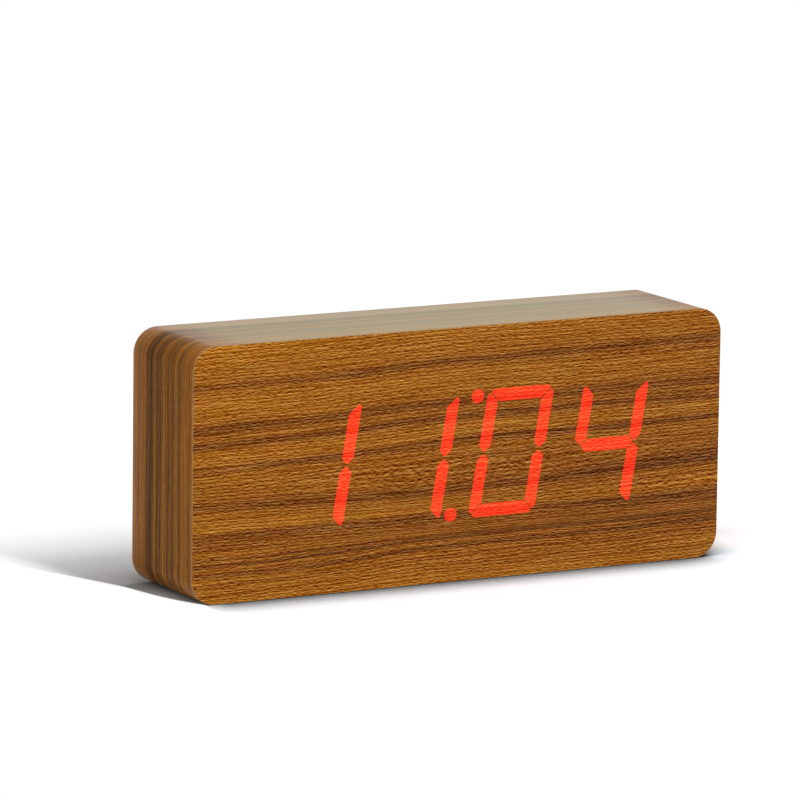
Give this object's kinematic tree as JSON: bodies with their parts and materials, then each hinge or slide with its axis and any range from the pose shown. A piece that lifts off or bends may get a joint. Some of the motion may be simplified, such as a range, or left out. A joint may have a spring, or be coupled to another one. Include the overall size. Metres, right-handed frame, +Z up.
{
  "type": "digital alarm clock",
  "caption": "Slab-shaped wood-veneered alarm clock whose red seven-segment time display glows through the front sheet, with battery door, buttons and power inlet in a rear panel.",
  "frame": {"origin": "centre of the clock's footprint on the surface that it stands on", "axes": "+X to the right seen from the front, +Y from the display towards the rear panel, +Z up"},
  "size_m": [0.21, 0.046, 0.09],
  "materials": {
    "front_veneer": "satin lacquered thin wood sheet, thin enough for the lit segments to show through",
    "veneer": "satin lacquered",
    "fibreboard": "bare, machined",
    "display_housing": "moulded, painted face",
    "dark_resin": "cast, tinted",
    "lit_segment": "cast, lit red",
    "circuit_board": "solder mask",
    "black_plastic": "fine moulded texture",
    "grey_plastic": "satin moulded",
    "steel": "plated",
    "nickel": "bright nickel plate",
    "cell_jacket": "plain printed sleeve, no lettering",
    "ribbon_jacket": "smooth",
    "lead_jacket": "smooth"
  },
  "bodies": {
    "clock_body": {"front_veneer": "front_veneer", "side_wrap": "veneer", "rear_veneer": "veneer", "case_body": "fibreboard", "digit_1_segment_b": "lit_segment", "digit_1_segment_c": "lit_segment", "digit_1_housing": "display_housing", "digit_1_resin": "dark_resin", "digit_2_segment_b": "lit_segment", "digit_2_segment_c": "lit_segment", "digit_2_housing": "display_housing", "digit_2_resin": "dark_resin", "digit_3_segment_a": "lit_segment", "digit_3_segment_b": "lit_segment", "digit_3_segment_c": "lit_segment", "digit_3_segment_d": "lit_segment", "digit_3_segment_e": "lit_segment", "digit_3_segment_f": "lit_segment", "digit_3_housing": "display_housing", "digit_3_resin": "dark_resin", "digit_4_segment_b": "lit_segment", "digit_4_segment_c": "lit_segment", "digit_4_segment_f": "lit_segment", "digit_4_segment_g": "lit_segment", "digit_4_housing": "display_housing", "digit_4_resin": "dark_resin", "colon_upper_dot": "lit_segment", "colon_lower_dot": "lit_segment", "display_board": "circuit_board", "control_board": "circuit_board", "rear_panel": "black_plastic", "dc_jack": "black_plastic", "panel_screw_1": "steel", "battery_cell_1": "cell_jacket", "panel_screw_2": "steel", "battery_cell_2": "cell_jacket", "panel_screw_3": "steel", "battery_cell_3": "cell_jacket", "panel_screw_4": "steel", "battery_cell_4": "cell_jacket", "battery_contact_plus": "nickel", "battery_contact_minus": "nickel", "battery_link_1": "nickel", "battery_link_2": "nickel", "battery_link_3": "nickel", "set_key_switch": "black_plastic", "up_key_switch": "black_plastic", "down_key_switch": "black_plastic", "sound_switch": "steel", "buzzer": "black_plastic", "microphone": "nickel", "coin_cell_holder": "black_plastic", "coin_cell": "steel", "ribbon_cable": "ribbon_jacket", "battery_lead": "lead_jacket"},
    "battery_door": {"battery_door": "black_plastic"},
    "set_button": {"set_button": "grey_plastic"},
    "up_button": {"up_button": "grey_plastic"},
    "down_button": {"down_button": "grey_plastic"},
    "sound_switch_knob": {"sound_switch_knob": "grey_plastic"}
  },
  "joints": [
    {"name": "battery_door_hinge", "type": "hinge", "parent": "clock_body", "child": "battery_door", "pos_m": [0.0727, 0.0209, 0.045], "axis": [0, 0, -1], "range_deg": [0, 95]},
    {"name": "set_press", "type": "slide", "parent": "clock_body", "child": "set_button", "axis": [0, -1, 0], "range_m": [0, 0.0005], "stiffness_N_per_m": 800},
    {"name": "up_press", "type": "slide", "parent": "clock_body", "child": "up_button", "axis": [0, -1, 0], "range_m": [0, 0.0005], "stiffness_N_per_m": 800},
    {"name": "down_press", "type": "slide", "parent": "clock_body", "child": "down_button", "axis": [0, -1, 0], "range_m": [0, 0.0005], "stiffness_N_per_m": 800},
    {"name": "sound_switch_slide", "type": "slide", "parent": "clock_body", "child": "sound_switch_knob", "axis": [1, 0, 0], "range_m": [0, 0.002]}
  ]
}
